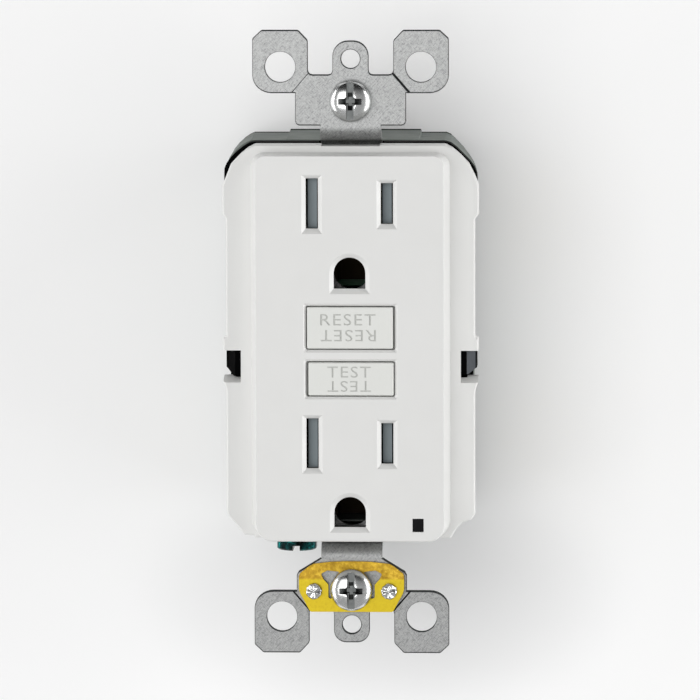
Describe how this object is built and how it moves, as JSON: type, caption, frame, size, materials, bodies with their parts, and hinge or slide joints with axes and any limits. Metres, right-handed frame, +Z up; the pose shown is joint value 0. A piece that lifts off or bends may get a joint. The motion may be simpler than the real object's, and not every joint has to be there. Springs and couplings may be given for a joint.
{
  "type": "duplex ground-fault receptacle",
  "caption": "White decorator duplex GFCI receptacle with reset and test buttons, steel mounting strap with break-off ears, brass grounding clip and side wire terminals.",
  "frame": {"origin": "centre of the strap in the plane of the rear face of its ears, which lies on the wall", "axes": "+Z up the strap, +X to the right seen from the front, +Y into the wall; the face looks along -Y"},
  "size_m": [0.0436, 0.0335, 0.1066],
  "materials": {
    "white_plastic": "satin moulded white",
    "grey_plastic": "matte moulded grey",
    "black_plastic": "moulded black",
    "shutter_plastic": "moulded blue grey",
    "smoked_lens": "polished dark lens",
    "galvanised_steel": "galvanised, faint spangle",
    "bright_zinc": "bright zinc plated",
    "brass_sheet": "stamped sheet",
    "copper_winding": "enamelled copper winding",
    "green_screw": "green plated",
    "board_green": "solder mask",
    "fibre_washer": "pressed fibre",
    "blue_epoxy": "epoxy coat",
    "tan_body": "resistor body"
  },
  "bodies": {
    "receptacle": {"front_cover": "white_plastic", "indicator_lens": "smoked_lens", "mounting_strap": "galvanised_steel", "upper_screw_retainer": "fibre_washer", "ground_clip": "brass_sheet", "clip_rivet_left": "bright_zinc", "clip_rivet_right": "bright_zinc", "rear_housing": "grey_plastic", "middle_frame": "black_plastic", "housing_screw_upper_left": "bright_zinc", "housing_screw_upper_right": "bright_zinc", "housing_screw_lower_left": "bright_zinc", "housing_screw_lower_right": "bright_zinc", "upper_shutter_spring": "bright_zinc", "lower_shutter_spring": "bright_zinc", "upper_shutter_tray": "black_plastic", "lower_shutter_tray": "black_plastic", "ground_contact_upper": "brass_sheet", "ground_contact_lower": "brass_sheet", "hot_bus": "brass_sheet", "neutral_bus": "brass_sheet", "line_hot_terminal": "brass_sheet", "line_neutral_terminal": "brass_sheet", "circuit_board": "board_green", "solenoid_bobbin": "white_plastic", "solenoid_coil": "copper_winding", "solenoid_frame": "galvanised_steel", "sense_transformer": "blue_epoxy", "neutral_transformer": "black_plastic", "movistor": "blue_epoxy", "capacitor": "black_plastic", "test_resistor": "tan_body", "indicator_led": "shutter_plastic", "reset_spring": "bright_zinc", "plunger_spring": "bright_zinc"},
    "reset_actuator": {"reset_button": "white_plastic", "reset_pin": "bright_zinc"},
    "test_actuator": {"test_button": "white_plastic"},
    "test_blade_arm": {"test_blade": "brass_sheet"},
    "upper_hot_shutter_body": {"upper_hot_shutter": "shutter_plastic"},
    "upper_neutral_shutter_body": {"upper_neutral_shutter": "shutter_plastic"},
    "lower_hot_shutter_body": {"lower_hot_shutter": "shutter_plastic"},
    "lower_neutral_shutter_body": {"lower_neutral_shutter": "shutter_plastic"},
    "lifter_body": {"lifter": "black_plastic"},
    "latch_body": {"latch_plate": "bright_zinc"},
    "hot_arm": {"hot_moving_arm": "brass_sheet"},
    "neutral_arm": {"neutral_moving_arm": "brass_sheet"},
    "plunger_body": {"plunger": "galvanised_steel"},
    "upper_mount_screw_body": {"upper_mount_screw": "bright_zinc"},
    "lower_mount_screw_body": {"lower_mount_screw": "bright_zinc"},
    "ground_screw_body": {"ground_screw": "green_screw"},
    "load_hot_screw_body": {"load_hot_screw": "brass_sheet"},
    "load_hot_clamp_body": {"load_hot_clamp": "bright_zinc"},
    "load_neutral_screw_body": {"load_neutral_screw": "bright_zinc"},
    "load_neutral_clamp_body": {"load_neutral_clamp": "bright_zinc"},
    "line_hot_screw_body": {"line_hot_screw": "brass_sheet"},
    "line_hot_clamp_body": {"line_hot_clamp": "bright_zinc"},
    "line_neutral_screw_body": {"line_neutral_screw": "bright_zinc"},
    "line_neutral_clamp_body": {"line_neutral_clamp": "bright_zinc"}
  },
  "joints": [
    {"name": "reset_press", "type": "slide", "parent": "receptacle", "child": "reset_actuator", "axis": [0, 1, 0], "range_m": [0, 0.0023], "stiffness_N_per_m": 350, "deforming": ["reset_spring"]},
    {"name": "test_press", "type": "slide", "parent": "receptacle", "child": "test_actuator", "axis": [0, 1, 0], "range_m": [0, 0.0015], "stiffness_N_per_m": 400},
    {"name": "test_blade_flex", "type": "hinge", "parent": "receptacle", "child": "test_blade_arm", "pos_m": [-0.0101, 0.0036, -0.0055], "axis": [0, 0, 1], "range_deg": [0, 6.2]},
    {"name": "upper_shutter_open", "type": "slide", "parent": "receptacle", "child": "upper_hot_shutter_body", "axis": [-1, 0, 0], "range_m": [0, 0.0029], "stiffness_N_per_m": 60, "deforming": ["upper_shutter_spring"]},
    {"name": "upper_neutral_shutter_open", "type": "slide", "parent": "receptacle", "child": "upper_neutral_shutter_body", "axis": [1, 0, 0], "range_m": [0, 0.0029]},
    {"name": "lower_shutter_open", "type": "slide", "parent": "receptacle", "child": "lower_hot_shutter_body", "axis": [-1, 0, 0], "range_m": [0, 0.0029], "stiffness_N_per_m": 60, "deforming": ["lower_shutter_spring"]},
    {"name": "lower_neutral_shutter_open", "type": "slide", "parent": "receptacle", "child": "lower_neutral_shutter_body", "axis": [1, 0, 0], "range_m": [0, 0.0029]},
    {"name": "contact_close", "type": "slide", "parent": "receptacle", "child": "lifter_body", "axis": [0, -1, 0], "range_m": [0, 0.0012], "stiffness_N_per_m": 200},
    {"name": "latch_shift", "type": "slide", "parent": "lifter_body", "child": "latch_body", "axis": [0, 0, 1], "range_m": [0, 0.0012]},
    {"name": "hot_arm_flex", "type": "hinge", "parent": "receptacle", "child": "hot_arm", "pos_m": [0.0085, 0.0156, -0.01035], "axis": [1, 0, 0], "range_deg": [0, 5.2]},
    {"name": "neutral_arm_flex", "type": "hinge", "parent": "receptacle", "child": "neutral_arm", "pos_m": [-0.0085, 0.0156, -0.01035], "axis": [1, 0, 0], "range_deg": [0, 5.2]},
    {"name": "plunger_fire", "type": "slide", "parent": "receptacle", "child": "plunger_body", "axis": [0, 0, 1], "range_m": [0, 0.0012], "stiffness_N_per_m": 60, "deforming": ["plunger_spring"]},
    {"name": "upper_mount_screw_turn", "type": "hinge", "parent": "receptacle", "child": "upper_mount_screw_body", "pos_m": [0, -0.0016, 0.0413], "axis": [0, 1, 0], "continuous": true},
    {"name": "lower_mount_screw_turn", "type": "hinge", "parent": "receptacle", "child": "lower_mount_screw_body", "pos_m": [0, -0.0025, -0.0422], "axis": [0, 1, 0], "continuous": true},
    {"name": "ground_screw_turn", "type": "hinge", "parent": "receptacle", "child": "ground_screw_body", "pos_m": [-0.0099, 0.01, -0.03485], "axis": [0, 0, 1], "continuous": true},
    {"name": "load_hot_screw_turn", "type": "hinge", "parent": "receptacle", "child": "load_hot_screw_body", "pos_m": [0.019, 0.012, 0.019], "axis": [-1, 0, 0], "range_deg": [0, 900]},
    {"name": "load_hot_clamp_draw", "type": "slide", "parent": "receptacle", "child": "load_hot_clamp_body", "axis": [1, 0, 0], "range_m": [0, 0.00198]},
    {"name": "load_neutral_screw_turn", "type": "hinge", "parent": "receptacle", "child": "load_neutral_screw_body", "pos_m": [-0.019, 0.012, 0.019], "axis": [1, 0, 0], "range_deg": [0, 900]},
    {"name": "load_neutral_clamp_draw", "type": "slide", "parent": "receptacle", "child": "load_neutral_clamp_body", "axis": [-1, 0, 0], "range_m": [0, 0.00198]},
    {"name": "line_hot_screw_turn", "type": "hinge", "parent": "receptacle", "child": "line_hot_screw_body", "pos_m": [0.019, 0.012, -0.019], "axis": [-1, 0, 0], "range_deg": [0, 900]},
    {"name": "line_hot_clamp_draw", "type": "slide", "parent": "receptacle", "child": "line_hot_clamp_body", "axis": [1, 0, 0], "range_m": [0, 0.00198]},
    {"name": "line_neutral_screw_turn", "type": "hinge", "parent": "receptacle", "child": "line_neutral_screw_body", "pos_m": [-0.019, 0.012, -0.019], "axis": [1, 0, 0], "range_deg": [0, 900]},
    {"name": "line_neutral_clamp_draw", "type": "slide", "parent": "receptacle", "child": "line_neutral_clamp_body", "axis": [-1, 0, 0], "range_m": [0, 0.00198]}
  ],
  "couplings": [
    {"joint": "upper_neutral_shutter_open", "follows": "upper_shutter_open", "ratio": 1},
    {"joint": "lower_neutral_shutter_open", "follows": "lower_shutter_open", "ratio": 1},
    {"joint": "hot_arm_flex", "follows": "contact_close", "rad_per_m": 73.8},
    {"joint": "neutral_arm_flex", "follows": "contact_close", "rad_per_m": 73.8},
    {"joint": "latch_shift", "follows": "plunger_fire", "ratio": 1},
    {"joint": "test_blade_flex", "follows": "test_press", "rad_per_m": 70.9},
    {"joint": "load_hot_screw_turn", "follows": "load_hot_clamp_draw", "rad_per_m": 7913.3},
    {"joint": "load_neutral_screw_turn", "follows": "load_neutral_clamp_draw", "rad_per_m": 7913.3},
    {"joint": "line_hot_screw_turn", "follows": "line_hot_clamp_draw", "rad_per_m": 7913.3},
    {"joint": "line_neutral_screw_turn", "follows": "line_neutral_clamp_draw", "rad_per_m": 7913.3}
  ]
}
